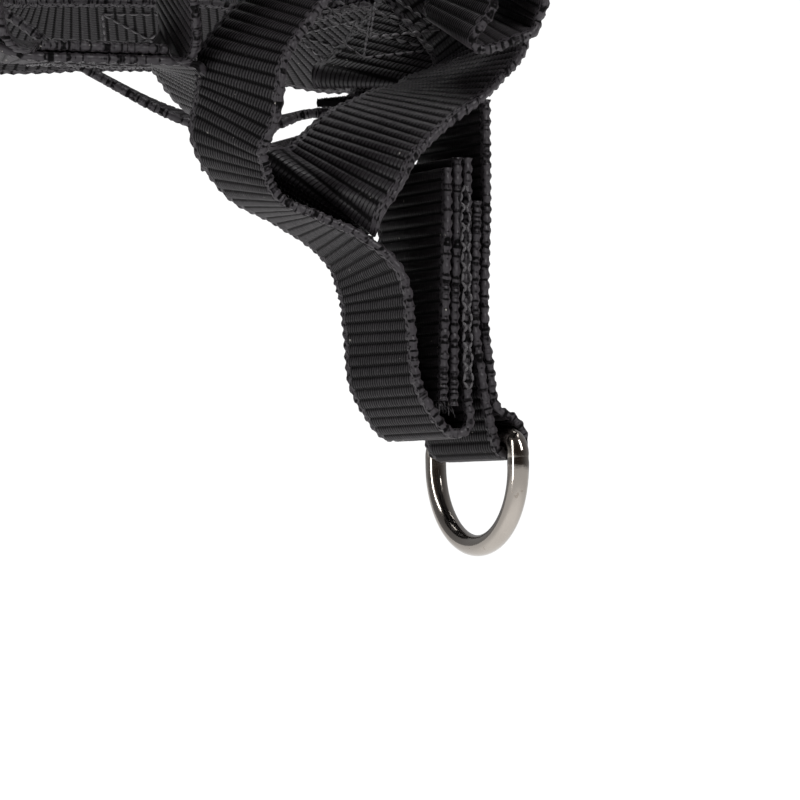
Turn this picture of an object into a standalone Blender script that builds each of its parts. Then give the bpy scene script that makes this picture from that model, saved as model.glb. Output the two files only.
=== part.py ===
"""A webbing hay net: rings of black webbing set on edge, zig-zagged and sewn face to face into a bag,
with a sewn tail and D-ring below and four hanger straps with a bolt snap above.

Metres, +Z up. The origin is where the snap's hook bears on what holds the net, straight above the middle
of mass. Azimuths are in degrees from -Y towards +X, round the bag's axis."""

import math
import random

import bmesh
import bpy
from mathutils import Vector

MM = 0.001

# Webbing
WEB_WIDTH = 25 * MM
WEB_THICK = 1.8 * MM
GAP = 0.3 * MM  # left between neighbouring pieces
LAYER = WEB_THICK + GAP  # pitch of sewn layers
SEAM = 25 * MM  # length of a face-to-face seam

# Bag: each level is a row of seams, from the mouth (0) down to the base (8)
COLUMNS = 8
COLUMN_ANGLE = 360 / COLUMNS
LEVEL_RADIUS = [78 * MM, 102 * MM, 122 * MM, 132 * MM, 131 * MM, 120 * MM, 102 * MM, 82 * MM, 67 * MM]
LEVEL_HEIGHT = [374 * MM, 335 * MM, 294 * MM, 252 * MM, 210 * MM, 168 * MM, 132 * MM, 102 * MM, 77 * MM]
BASE_LEVEL = len(LEVEL_RADIUS) - 1
SAG = 3 * MM  # how far a seam strays from its place
LEAN = 0.16  # how far its direction rises or falls for each unit of length
MOUTH_CALM = 0.2  # the share of both at the mouth, whose band holds the seams in place
SAG_SEED = 11
ARM_REACH = 1.0  # how strongly an arm keeps the direction of the seams it joins
ARM_PARTS = 5

# Tail: everything below is placed from the middle of the D-ring's bar
BAG_AXIS = Vector((-6.3, 4.3, 0)) * MM  # puts the middle of mass, with the tail, below the hook
BAR = BAG_AXIS + Vector((68, -47, -618)) * MM
TAIL_AZIMUTH = 30  # the way the bar and the tail's straps face
TAIL_TILT = 2  # how far that way points up
TAIL_SIDE = 55  # where the tail hangs, round the bag
FIRST_END = -2.5  # the half layers by which the base strap's first end lies below its seam
NEAR_DEPTH = 4.6  # the half layers by which the base tie's ends lie below their seams
FAR_DEPTH = 3.1
NEAR_ENDS = (8, -14)  # where its ends lie flat, in millimetres outwards from the seams' middles
FAR_ENDS = (-11, 8)
BASE_RISE = 0.095  # how much higher the base is for each unit of length away from the tail's side

# D-ring
RING_WIRE = 4 * MM
RING_BAR = 30 * MM  # between the legs' centres
RING_LEG = 5 * MM
RING_SIDES = 10

# Mouth and hanger
HANGER_STRAPS = 4
HANGER_AZIMUTH = 45  # the way the straps of the upper stack face
STACK_TOP = -77 * MM
STACK_BASE = -120 * MM
FAN_BASE = -144 * MM  # where the straps have spread
FAN = 5.2  # how many times their pitch in the stack
TURN_UP = 6 * MM  # how soon a strap turns up after its seam on the mouth band
TAB_OVER = 1 * MM  # how far the tab's straight legs reach above the stack
TAB_SHORT = 3 * MM  # and stop short of its lower end

# Bolt snap: a hook with its shank on one side and a bolt in a barrel on the other
HOOK_WIRE = 6 * MM
HOOK_HALF = 9.5 * MM  # from the middle to the shank's and to the bolt's axis
HOOK_TOP = HOOK_WIRE / 2  # height of the wire's middle above the bearing point
TIP_BASE = -14 * MM  # where the hook's tip ends and the closed bolt begins
BARREL_TOP = -25 * MM
BARREL_BASE = -44 * MM
BARREL_RADIUS = 4.6 * MM
BORE_RADIUS = 2.8 * MM
BORE_BASE = -42 * MM
BOLT_RADIUS = 2.4 * MM
BOLT_LENGTH = 17.5 * MM
BOLT_TRAVEL = 7 * MM
STUD_HEIGHT = -29 * MM
STUD_RADIUS = 1.3 * MM
STUD_HEAD = 2.4 * MM  # the thumb piece's radius
STUD_GAP = 0.6 * MM  # between it and the barrel
STUD_REACH = 4.5 * MM
SPRING_WIRE = 0.5 * MM
SPRING_TURNS = 4
COIL_STEPS = 12  # for each turn
BOSS_RADIUS = 6.4 * MM
BOSS_TOP = -38 * MM
BOSS_BASE = -51 * MM
BASE_RAISE = 5 * MM  # height of the base's bar above the barrel's lower end
BASE_DIP = 1 * MM
SHANK_CORNER = 2 * MM
SHANK_BEND = 5 * MM
HOOK_STEPS = 20
CAVITY_RADIUS = 4 * MM
CAVITY_BASE = -48.5 * MM
CAVITY_TOP = -44.5 * MM
STEM_RADIUS = 2 * MM
STEM_HOLE = 2.4 * MM
STEM_HEAD = 3.4 * MM
STEM_HEAD_THICK = 2.5 * MM
EYE_WIRE = 4 * MM
EYE_HALF = 17 * MM
EYE_TOP = -55.5 * MM
EYE_BAR = -67 * MM
EYE_CORNER = 4 * MM
CORNER_STEPS = 6
METAL_SIDES = 24  # round the snap's bars
SMALL_SIDES = 16


def clear_scene():
    for thing in list(bpy.data.objects):
        bpy.data.objects.remove(thing)


def material(name, color, roughness, metallic):
    made = bpy.data.materials.new(name)
    made.use_nodes = True
    shader = made.node_tree.nodes["Principled BSDF"]
    shader.inputs["Base Color"].default_value = (*color, 1)
    shader.inputs["Roughness"].default_value = roughness
    shader.inputs["Metallic"].default_value = metallic
    return made


def add_object(name, vertices, faces, look, smooth=False):
    mesh = bpy.data.meshes.new(name)
    mesh.from_pydata([tuple(v) for v in vertices], [], faces)
    work = bmesh.new()
    work.from_mesh(mesh)
    bmesh.ops.recalc_face_normals(work, faces=work.faces)
    work.to_mesh(mesh)
    work.free()
    if smooth:
        mesh.shade_smooth()
        mesh.set_sharp_from_angle(angle=math.radians(40))
    made = bpy.data.objects.new(name, mesh)
    made.data.materials.append(look)
    bpy.context.scene.collection.objects.link(made)
    return made


def facing(azimuth, tilt=0.0):
    """The unit vector that points outwards at an azimuth, tilted up by some degrees."""
    a, t = math.radians(azimuth), math.radians(tilt)
    return Vector((math.sin(a) * math.cos(t), -math.cos(a) * math.cos(t), math.sin(t)))


def around(azimuth):
    """The level unit vector that points the way azimuth grows."""
    return facing(azimuth + 90)


# ---- Straps -----------------------------------------------------------------------------------------


class Station:
    """A place on a strap's middle line: point, the way the strap's near edge faces, and its direction."""

    def __init__(self, point, edge, along=None):
        self.point = Vector(point)
        self.edge = Vector(edge).normalized()
        self.along = along.normalized() if along else None


def with_directions(stations, closed):
    """Fills in the direction of each station that has none, from its neighbours."""
    count = len(stations)
    for i, here in enumerate(stations):
        if here.along:
            continue
        before = stations[i - 1] if closed or i else here
        after = stations[(i + 1) % count] if closed or i < count - 1 else here
        here.along = (after.point - before.point).normalized()
    return stations


def strap_line(stations, closed, parts_per_span=ARM_PARTS):
    """The middle line as (point, edge) pairs: straight along seams, and a smooth curve between others."""
    line = []
    count = len(stations)
    for i in range(count if closed else count - 1):
        a, b = stations[i], stations[(i + 1) % count]
        span = b.point - a.point
        straight = span.normalized().dot(a.along) > 0.9995 and a.along.dot(b.along) > 0.9995
        bend = a.along.angle(b.along) + span.angle(a.along)
        if straight:
            parts = 1
        else:
            parts = max(2, min(parts_per_span, math.ceil(span.length / (7 * MM) + bend)))
        reach = span.length * ARM_REACH
        for step in range(parts):
            s = step / parts
            if straight:
                point = a.point.lerp(b.point, s)
            else:
                point = (
                    a.point * (2 * s**3 - 3 * s**2 + 1)
                    + a.along * (reach * (s**3 - 2 * s**2 + s))
                    + b.point * (3 * s**2 - 2 * s**3)
                    + b.along * (reach * (s**3 - s**2))
                )
            line.append((point, a.edge.lerp(b.edge, s * s * (3 - 2 * s))))
    if not closed:
        line.append((stations[-1].point.copy(), stations[-1].edge.copy()))
    return line


def strap(name, stations, look, closed=False, parts_per_span=ARM_PARTS):
    """A strap of rectangular section, swept along its stations."""
    line = strap_line(with_directions(stations, closed), closed, parts_per_span)
    count = len(line)
    vertices = []
    for i, (point, edge) in enumerate(line):
        before = line[i - 1][0] if closed or i else point
        after = line[(i + 1) % count][0] if closed or i < count - 1 else point
        along = (after - before).normalized()
        across = (edge - along * edge.dot(along)).normalized() * WEB_WIDTH / 2
        through = across.cross(along).normalized() * WEB_THICK / 2
        vertices += [point + across + through, point - across + through]
        vertices += [point - across - through, point + across - through]
    faces = []
    for i in range(count if closed else count - 1):
        a, b = 4 * i, 4 * ((i + 1) % count)
        faces += [(a + k, a + (k + 1) % 4, b + (k + 1) % 4, b + k) for k in range(4)]
    if not closed:
        faces += [(0, 1, 2, 3), tuple(4 * count - 1 - k for k in range(4))]
    return add_object(name, vertices, faces, look)


# ---- Seams ------------------------------------------------------------------------------------------


class Seam:
    """A face-to-face seam: the middle between its two layers, its direction and the way its edge faces."""

    def __init__(self, point, along, edge):
        self.point = Vector(point)
        self.along = Vector(along).normalized()
        edge = Vector(edge)
        self.edge = (edge - self.along * edge.dot(self.along)).normalized()

    def layer(self, side):
        """The two stations of the upper (side 1) or the lower (side -1) layer."""
        up = self.edge.cross(self.along)
        middle = self.point + up * (side * LAYER / 2)
        half = self.along * (SEAM / 2)
        return [
            Station(middle - half, self.edge, self.along),
            Station(middle + half, self.edge, self.along),
        ]


def from_bar(x, y, z):
    """A point given in millimetres from the middle of the D-ring's bar."""
    return BAR + Vector((x, y, z)) * MM


def seam_azimuth(level, column):
    return COLUMN_ANGLE * (column + 0.5 * ((BASE_LEVEL - level) % 2))


def seam_places():
    """Every seam of the bag, by (level, column): evenly round the bag, each a little out of place."""
    stray = random.Random(SAG_SEED)
    places = {}
    for level in range(BASE_LEVEL + 1):
        radius, height = LEVEL_RADIUS[level], BAR.z + LEVEL_HEIGHT[level]
        above, below = max(level - 1, 0), min(level + 1, BASE_LEVEL)
        rise = LEVEL_HEIGHT[above] - LEVEL_HEIGHT[below]
        flare = math.degrees(math.atan2(LEVEL_RADIUS[above] - LEVEL_RADIUS[below], rise))
        for column in range(COLUMNS):
            azimuth = seam_azimuth(level, column)
            calm = MOUTH_CALM if level == 0 else 1
            shift = Vector([stray.uniform(-SAG, SAG) for _ in range(3)]) * calm
            lean = stray.uniform(-LEAN, LEAN) * calm
            point = BAG_AXIS + facing(azimuth) * radius + Vector((0, 0, height)) + shift
            reach = (point - BAG_AXIS).dot(facing(TAIL_SIDE))
            point.z += BASE_RISE * (LEVEL_RADIUS[level] - reach) * level / BASE_LEVEL
            along = around(azimuth) + Vector((0, 0, lean))
            places[level, column] = Seam(point, along, facing(azimuth, -flare))
    places.update(tail_side_seams())
    return places


def tail_side_seams():
    """The seams next to the tail, which its weight pulls out of the even pattern."""
    return {
        (8, 0): Seam(from_bar(-72, -14, 71.5), (0.94, 0.34, 0), facing(20, -4)),
        (8, 2): Seam(from_bar(-16, 42, 70), (0.2, 0.95, 0.1), facing(80)),
        (7, 0): Seam(from_bar(-39, -23, 97), (0.96, 0.28, 0), facing(30, -12)),
        (7, 1): Seam(from_bar(-5, 31, 94), (0.2, 0.98, 0), facing(75)),
        (7, 2): Seam(from_bar(0, 74, 113), around(112), facing(112, -26)),
    }


# ---- Bag --------------------------------------------------------------------------------------------


def net_ring(number, places, look):
    """One row of the net: from its upper seams' lower layers to its lower seams' upper layers."""
    upper, lower = number - 1, number
    first_is_upper = seam_azimuth(upper, 0) < seam_azimuth(lower, 0)
    stations = []
    for column in range(COLUMNS):
        turns = [places[upper, column].layer(-1), places[lower, column].layer(1)]
        if not first_is_upper:
            turns.reverse()
        if (lower, column) == (7, 1):
            turns[1] = slack_turn()
        stations += turns[0] + turns[1]
    strap(f"net_ring_{number}", stations, look, closed=True)


def slack_turn():
    """The slack turn next to the tail, which crosses in front of the base strap instead of lying on it."""
    edge = (0.34, -0.88, -0.33)
    return [
        Station(from_bar(-1.7, -10, 83), edge),
        Station(from_bar(-5.0, -10, 77.5), edge),
        Station(from_bar(-3.6, -9, 75.8), edge),
        Station(from_bar(2.5, -8, 77.5), edge),
        Station(from_bar(6.6, -6, 80.5), edge),
        Station(from_bar(7.5, -9, 88), (0.5, -0.85, -0.15)),
    ]


def tail_point(across, up, out=0.0):
    """A point of the tail in millimetres: across its layers, up, and out along its straps' width."""
    outwards, sideways = facing(TAIL_AZIMUTH, TAIL_TILT), around(TAIL_AZIMUTH)
    upwards = outwards.cross(sideways)
    return BAR + (sideways * across + outwards * out + upwards * up) * MM


def tail_stations(points):
    return [Station(tail_point(across, up), facing(TAIL_AZIMUTH, TAIL_TILT)) for across, up in points]


def base_strap(places, look):
    """The lowest row, strap 2 of the crossing, the hanging strap and the tail's loop, in one strap."""
    stations = places[8, 2].layer(FIRST_END)
    for column in (3, 4, 5, 6, 7, 0):
        stations += places[8, column].layer(-1)
    # Behind the hanging strap to the crossing, over it, and up to the seam at the right
    stations += [
        Station(from_bar(-48, 8, 60.5), (0.6, -0.65, -0.3)),
        Station(from_bar(-37.5, 7, 54), (0.75, -0.25, -0.5)),
        Station(from_bar(-33.7, -3, 44.9), (0.84, 0.05, -0.46)),
        Station(from_bar(-30.0, -17.5, 45.5), (0.84, -0.1, -0.46)),
        Station(from_bar(-25.7, -18.5, 48.5), (0.83, -0.45, -0.32)),
        Station(from_bar(-20.0, -14, 56.4), (0.8, -0.56, -0.24)),
        Station(from_bar(-12, -8, 62.5), (0.74, -0.65, -0.18)),
        Station(from_bar(-4.5, 1, 68), (0.66, -0.74, -0.08)),
        Station(from_bar(0.5, 11, 76), (0.64, -0.75, 0.05)),
    ]
    for column in range(1, COLUMNS):
        stations += places[7, column].layer(-1)
        if column < COLUMNS - 1:
            stations += places[8, column + 1].layer(1)
    stations += places[8, 0].layer(1)
    stations += places[7, 0].layer(-1)
    # The hanging strap, the tail's loop and up its stack
    stations += [
        Station(from_bar(-42.4, -24, 71), facing(42, -5)),
        Station(from_bar(-44.0, -23, 62), facing(40, -5)),
        Station(from_bar(-45.8, -20, 54.3), facing(33, -5)),
        Station(from_bar(-41.5, -16, 45.5), facing(25, -4)),
        Station(from_bar(-32.8, -12.5, 40.8), facing(24, -2)),
        Station(from_bar(-24.5, -11, 35.6), facing(26, 0)),
        Station(from_bar(-19.6, -10.5, 29), facing(30, 3)),
    ]
    stations += tail_stations([
        (-20.6, 20), (-19.7, 11), (-16.4, 5.0), (-12.3, 1.0), (-8.8, 2.2),
        (-9.0, 8), (-9.1, 22), (-8.3, 42), (-8.0, 52),
    ])
    strap("base_strap", stations, look)


def base_ties(places, look):
    """Two short straps sewn into the tail's stack, and one across the base, sewn at both its ends."""
    strap("tail_layer_1", tail_stations([(-12.0, 6), (-11.4, 22), (-10.45, 40), (-10.2, 52)]), look)
    strap("tail_layer_2", tail_stations([(-14.2, 7), (-13.5, 22), (-12.6, 40), (-12.4, 50)]), look)
    near, far = places[8, 2], places[8, 6]
    near_middle = near.point - near.edge.cross(near.along) * (NEAR_DEPTH * LAYER / 2)
    far_middle = far.point - far.edge.cross(far.along) * (FAR_DEPTH * LAYER / 2)
    tie = [Station(near_middle + near.edge * reach * MM, -near.along, -near.edge) for reach in NEAR_ENDS]
    tie += [
        Station(from_bar(-50, 40, 62), (0.1, -0.97, -0.15)),
        Station(from_bar(-74, 42, 72), (0.1, -0.97, -0.1)),
        Station(from_bar(-102, 45, 90), (0.05, -0.98, -0.05)),
    ]
    tie += [Station(far_middle + far.edge * reach * MM, far.along, far.edge) for reach in FAR_ENDS]
    strap("base_tie", tie, look)


def ring_tab(look):
    """The strap round the D-ring's bar, with both legs in the tail."""
    turn = RING_WIRE / 2 / MM + (GAP + WEB_THICK / 2) / MM
    points = [(-6.1, 44), (-7.0, 22), (-6.0, 13), (-4.8, 6)]
    turns = [math.radians(180 + 45 * k) for k in range(5)]
    points += [(turn * math.cos(a), turn * math.sin(a)) for a in turns]
    points += [(1.3, 3.4), (-2.7, 5.9), (-3.9, 13), (-4.9, 22), (-4.0, 44), (-3.8, 60)]
    strap("ring_tab", tail_stations(points), look, parts_per_span=3)


# ---- Metal ------------------------------------------------------------------------------------------


def tube(name, points, radius, look, sides=10, closed=False):
    """A round bar swept along points, with flat ends unless it is closed."""
    count = len(points)
    vertices, faces = [], []
    side = None
    for i, point in enumerate(points):
        before = points[i - 1] if closed or i else point
        after = points[(i + 1) % count] if closed or i < count - 1 else point
        along = (after - before).normalized()
        if side is None:
            side = along.orthogonal().normalized()
        side = (side - along * side.dot(along)).normalized()
        other = along.cross(side)
        for k in range(sides):
            a = 2 * math.pi * k / sides
            vertices.append(point + (side * math.cos(a) + other * math.sin(a)) * radius)
    for i in range(count if closed else count - 1):
        a, b = sides * i, sides * ((i + 1) % count)
        faces += [(a + k, a + (k + 1) % sides, b + (k + 1) % sides, b + k) for k in range(sides)]
    if not closed:
        faces += [tuple(range(sides)), tuple(sides * count - 1 - k for k in range(sides))]
    return add_object(name, vertices, faces, look, smooth=True)


def d_ring(look):
    """The ring's bar, two short legs and half-round bow, in the plane of the tail's straps."""
    half = RING_BAR / 2
    flat = [(x * half, 0) for x in (-0.85, 0, 0.85)]
    flat += [(half, -0.12 * half), (half, -RING_LEG)]
    for k in range(1, 13):
        a = math.pi * k / 12
        flat.append((half * math.cos(a), -RING_LEG - half * math.sin(a)))
    flat += [(-half, -0.12 * half)]
    points = [tail_point(0, z / MM, x / MM) for x, z in flat]
    tube("d_ring", points, RING_WIRE / 2, look, RING_SIDES, closed=True)


# ---- Mouth and hanger -------------------------------------------------------------------------------


def mouth_band(places, look):
    """The webbing ring that edges the mouth, sewn on top of the first row's upper seams."""
    stations = []
    for column in range(COLUMNS):
        stations += places[0, column].layer(1)
    strap("mouth_band", stations, look, closed=True, parts_per_span=3)


def stack_stations(layer, heights, flip):
    """Stations in the upper stack: layer counts from its middle, and flip turns the strap's near edge."""
    edge = facing(HANGER_AZIMUTH) * flip
    side = around(HANGER_AZIMUTH) * (layer * LAYER)
    return [Station(side + Vector((0, 0, z)), edge, Vector((0, 0, 1))) for z in heights]


def hanger_straps(places, look):
    """Four straps, each from its seam on the mouth band up to its own layer of the stack."""
    step = COLUMNS // HANGER_STRAPS
    layers = [-1.5, 1.5, 0.5, -0.5]  # from the stack's middle, in the order of the seams
    flips = [1, 1, -1, -1]
    for number in range(HANGER_STRAPS):
        stations = places[0, number * step].layer(3)
        end = stations[-1]
        normal = end.edge.cross(end.along)
        stations.append(Station(end.point + end.along * TURN_UP + normal * TURN_UP, end.edge))
        fan = stack_stations(FAN * layers[number], (FAN_BASE,), flips[number])[0]
        stations.append(Station(fan.point, fan.edge))
        stations += stack_stations(layers[number], (STACK_BASE, STACK_TOP), flips[number])
        strap(f"hanger_strap_{number + 1}", stations, look, parts_per_span=10)


def top_tab(look):
    """The strap round the bar of the snap's eye, with one leg down each side of the stack."""
    turn = EYE_WIRE / 2 + GAP + WEB_THICK / 2
    leg = 2.5 * LAYER
    side = around(HANGER_AZIMUTH)
    edge = facing(HANGER_AZIMUTH)
    up = Vector((0, 0, 1))
    low, high = STACK_BASE + TAB_SHORT, STACK_TOP + TAB_OVER
    stations = [Station(side * leg + up * z, edge, up) for z in (low, high)]
    for k in range(5):
        a = math.radians(45 * k)
        stations.append(Station(side * (turn * math.cos(a)) + up * (EYE_BAR + turn * math.sin(a)), edge))
    stations += [Station(side * -leg + up * z, edge, -up) for z in (high, low)]
    strap("top_tab", stations, look, parts_per_span=2)


# ---- Bolt snap --------------------------------------------------------------------------------------


def cylinder(name, low, high, radius, look, sides=METAL_SIDES):
    return tube(name, [Vector(low), Vector(high)], radius, look, sides)


def box(name, low, high, look):
    corners = [(x, y, z) for z in (low[2], high[2]) for y in (low[1], high[1]) for x in (low[0], high[0])]
    faces = [(0, 2, 3, 1), (4, 5, 7, 6), (0, 1, 5, 4), (2, 6, 7, 3), (0, 4, 6, 2), (1, 3, 7, 5)]
    return add_object(name, corners, faces, look)


def combine(body, others, operation):
    """Joins the others to the body, or cuts them from it, and keeps them out of the part."""
    for other in others:
        change = body.modifiers.new(other.name, "BOOLEAN")
        change.operation = operation
        change.solver = "EXACT"
        change.object = other
        other.hide_render = True
        other.display_type = "WIRE"


def snap_body(look):
    """Shank, hook and tip in one bar, with the barrel, the base and the swivel's boss."""
    centre = HOOK_TOP - HOOK_HALF
    base = BARREL_BASE + BASE_RAISE
    path = [Vector((HOOK_HALF, 0, base)), Vector((0, 0, base - BASE_DIP))]
    path += [Vector((-HOOK_HALF + SHANK_CORNER, 0, base)), Vector((-HOOK_HALF, 0, base + SHANK_BEND))]
    for step in range(HOOK_STEPS + 1):
        turn = math.pi * (1 - step / HOOK_STEPS)
        path.append(Vector((HOOK_HALF * math.cos(turn), 0, centre + HOOK_HALF * math.sin(turn))))
    path.append(Vector((HOOK_HALF, 0, TIP_BASE)))
    body = tube("snap_body", path, HOOK_WIRE / 2, look, sides=METAL_SIDES)
    x = HOOK_HALF
    joined = [
        cylinder("barrel_shape", (x, 0, BARREL_BASE), (x, 0, BARREL_TOP), BARREL_RADIUS, look),
        cylinder("boss_shape", (0, 0, BOSS_BASE), (0, 0, BOSS_TOP), BOSS_RADIUS, look),
    ]
    combine(body, joined, "UNION")
    room = STUD_RADIUS + GAP
    slot_low = Vector((x, -room, STUD_HEIGHT - BOLT_TRAVEL - room))
    slot_high = Vector((x + 2 * BARREL_RADIUS, room, STUD_HEIGHT + room))
    past = 1 * MM  # how far a cutter runs past the face that it opens
    cut = [
        cylinder("bore_shape", (x, 0, BORE_BASE), (x, 0, BARREL_TOP + past), BORE_RADIUS, look),
        box("slot_shape", slot_low, slot_high, look),
        cylinder("cavity_shape", (0, 0, CAVITY_BASE), (0, 0, CAVITY_TOP), CAVITY_RADIUS, look),
        cylinder("stem_hole_shape", (0, 0, BOSS_BASE - past), (0, 0, CAVITY_BASE + past), STEM_HOLE, look),
    ]
    combine(body, cut, "DIFFERENCE")


def snap_bolt(look):
    """The bolt, flush below the hook's tip, with its thumb stud out of the barrel's slot."""
    top = TIP_BASE - GAP
    x = HOOK_HALF
    bolt = cylinder("snap_bolt", (x, 0, top - BOLT_LENGTH), (x, 0, top), BOLT_RADIUS, look)
    near, far = x + BARREL_RADIUS + STUD_GAP, x + BARREL_RADIUS + STUD_REACH
    z = STUD_HEIGHT
    stud = [
        cylinder("stud_neck_shape", (x, 0, z), ((near + far) / 2, 0, z), STUD_RADIUS, look, SMALL_SIDES),
        cylinder("stud_head_shape", (near, 0, z), (far, 0, z), STUD_HEAD, look, METAL_SIDES),
    ]
    combine(bolt, stud, "UNION")


def snap_spring(look):
    """The coil below the bolt, from the bore's floor to the bolt's end."""
    low = BORE_BASE + GAP + SPRING_WIRE / 2
    high = TIP_BASE - 2 * GAP - BOLT_LENGTH - SPRING_WIRE / 2
    radius = BORE_RADIUS - GAP - SPRING_WIRE / 2
    steps = COIL_STEPS * SPRING_TURNS
    points = []
    for step in range(steps + 1):
        turn = 2 * math.pi * step / COIL_STEPS
        points.append(Vector((
            HOOK_HALF + radius * math.cos(turn), radius * math.sin(turn), low + (high - low) * step / steps)))
    tube("snap_spring", points, SPRING_WIRE / 2, look, sides=6)


def snap_eye(look):
    """The square eye below the snap, with its stem and the head that turns in the boss."""
    along = facing(HANGER_AZIMUTH)
    flat = []
    corners = [
        (EYE_HALF, EYE_TOP, 0), (EYE_HALF, EYE_BAR, 270),
        (-EYE_HALF, EYE_BAR, 180), (-EYE_HALF, EYE_TOP, 90),
    ]
    for x, z, start in corners:
        inward = (math.copysign(EYE_CORNER, -x), EYE_CORNER if z == EYE_BAR else -EYE_CORNER)
        for step in range(CORNER_STEPS + 1):
            turn = math.radians(start + 90 - 90 * step / CORNER_STEPS)
            across = x + inward[0] + EYE_CORNER * math.cos(turn)
            flat.append((across, z + inward[1] + EYE_CORNER * math.sin(turn)))
    points = [along * x + Vector((0, 0, z)) for x, z in flat]
    eye = tube("snap_eye", points, EYE_WIRE / 2, look, sides=SMALL_SIDES, closed=True)
    head = CAVITY_BASE + GAP
    stem = [
        cylinder("stem_shape", (0, 0, EYE_TOP), (0, 0, head + STEM_HEAD_THICK / 2), STEM_RADIUS, look),
        cylinder("stem_head_shape", (0, 0, head), (0, 0, head + STEM_HEAD_THICK), STEM_HEAD, look),
    ]
    combine(eye, stem, "UNION")


def main():
    clear_scene()
    webbing = material("black_webbing", (0.012, 0.011, 0.012), 0.8, 0.0)
    nickel = material("nickel_plate", (0.62, 0.6, 0.57), 0.2, 1.0)
    steel = material("spring_steel", (0.45, 0.45, 0.45), 0.35, 1.0)
    places = seam_places()
    for number in range(1, BASE_LEVEL):
        net_ring(number, places, webbing)
    base_strap(places, webbing)
    base_ties(places, webbing)
    ring_tab(webbing)
    d_ring(nickel)
    mouth_band(places, webbing)
    hanger_straps(places, webbing)
    top_tab(webbing)
    snap_body(nickel)
    snap_bolt(nickel)
    snap_spring(steel)
    snap_eye(nickel)


main()
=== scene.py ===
"""The looks of the webbing hay net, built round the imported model.

Metres, +Z up, the frame of the model. Every strap is woven again along the stations of its solid."""

import math
import random

import bpy
import numpy as np
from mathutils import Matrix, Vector

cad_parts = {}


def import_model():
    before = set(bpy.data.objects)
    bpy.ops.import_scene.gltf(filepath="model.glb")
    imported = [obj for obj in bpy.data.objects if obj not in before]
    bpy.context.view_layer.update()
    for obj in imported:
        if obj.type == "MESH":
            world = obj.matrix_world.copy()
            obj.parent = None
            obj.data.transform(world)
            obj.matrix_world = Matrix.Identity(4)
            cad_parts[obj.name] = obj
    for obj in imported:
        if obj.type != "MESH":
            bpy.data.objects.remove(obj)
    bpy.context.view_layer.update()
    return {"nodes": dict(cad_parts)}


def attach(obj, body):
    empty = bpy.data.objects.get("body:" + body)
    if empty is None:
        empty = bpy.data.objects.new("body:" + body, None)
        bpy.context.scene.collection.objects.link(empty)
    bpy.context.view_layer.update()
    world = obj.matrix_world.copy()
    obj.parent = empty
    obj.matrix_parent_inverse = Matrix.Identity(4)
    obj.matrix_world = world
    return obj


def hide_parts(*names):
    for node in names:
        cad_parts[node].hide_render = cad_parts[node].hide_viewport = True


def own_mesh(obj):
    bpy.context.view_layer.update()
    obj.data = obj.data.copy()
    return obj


MM = 0.001

# Webbing
WEB_WIDTH = 25 * MM
WEB_THICK = 1.8 * MM
GAP = 0.3 * MM  # left between neighbouring pieces
LAYER = WEB_THICK + GAP  # pitch of sewn layers
SEAM = 25 * MM  # length of a face-to-face seam

# Bag: each level is a row of seams, from the mouth (0) down to the base (8)
COLUMNS = 8
COLUMN_ANGLE = 360 / COLUMNS
LEVEL_RADIUS = [78 * MM, 102 * MM, 122 * MM, 132 * MM, 131 * MM, 120 * MM, 102 * MM, 82 * MM, 67 * MM]
LEVEL_HEIGHT = [374 * MM, 335 * MM, 294 * MM, 252 * MM, 210 * MM, 168 * MM, 132 * MM, 102 * MM, 77 * MM]
BASE_LEVEL = len(LEVEL_RADIUS) - 1
SAG = 3 * MM  # how far a seam strays from its place
LEAN = 0.16  # how far its direction rises or falls for each unit of length
MOUTH_CALM = 0.2  # the share of both at the mouth, whose band holds the seams in place
SAG_SEED = 11

# Tail: everything below is placed from the middle of the D-ring's bar
BAG_AXIS = Vector((-6.3, 4.3, 0)) * MM  # puts the middle of mass, with the tail, below the hook
BAR = BAG_AXIS + Vector((68, -47, -618)) * MM
TAIL_AZIMUTH = 30  # the way the bar and the tail's straps face
TAIL_TILT = 2  # how far that way points up
TAIL_SIDE = 55  # where the tail hangs, round the bag
FIRST_END = -2.5  # the half layers by which the base strap's first end lies below its seam
NEAR_DEPTH = 4.6  # the half layers by which the base tie's ends lie below their seams
FAR_DEPTH = 3.1
NEAR_ENDS = (8, -14)  # where its ends lie flat, in millimetres outwards from the seams' middles
FAR_ENDS = (-11, 8)
BASE_RISE = 0.095  # how much higher the base is for each unit of length away from the tail's side

# D-ring
RING_WIRE = 4 * MM
RING_BAR = 30 * MM  # between the legs' centres
RING_LEG = 5 * MM

# Mouth and hanger
HANGER_STRAPS = 4
HANGER_AZIMUTH = 45  # the way the straps of the upper stack face
STACK_TOP = -77 * MM
STACK_BASE = -120 * MM
FAN_BASE = -144 * MM  # where the straps have spread
FAN = 5.2  # how many times their pitch in the stack
TURN_UP = 6 * MM  # how soon a strap turns up after its seam on the mouth band
TAB_OVER = 1 * MM  # how far the tab's straight legs reach above the stack
TAB_SHORT = 3 * MM  # and stop short of its lower end

# Bolt snap: what the woven top tab and the coil spring need of it
HOOK_HALF = 9.5 * MM  # from the middle to the shank's and to the bolt's axis
TIP_BASE = -14 * MM  # where the hook's tip ends and the closed bolt begins
BORE_RADIUS = 2.8 * MM
BORE_BASE = -42 * MM
BOLT_LENGTH = 17.5 * MM
SPRING_WIRE = 0.5 * MM
SPRING_TURNS = 4
EYE_WIRE = 4 * MM
EYE_BAR = -67 * MM


def facing(azimuth, tilt=0.0):
    """The unit vector that points outwards at an azimuth, tilted up by some degrees."""
    a, t = math.radians(azimuth), math.radians(tilt)
    return Vector((math.sin(a) * math.cos(t), -math.cos(a) * math.cos(t), math.sin(t)))


def around(azimuth):
    """The level unit vector that points the way azimuth grows."""
    return facing(azimuth + 90)


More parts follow.
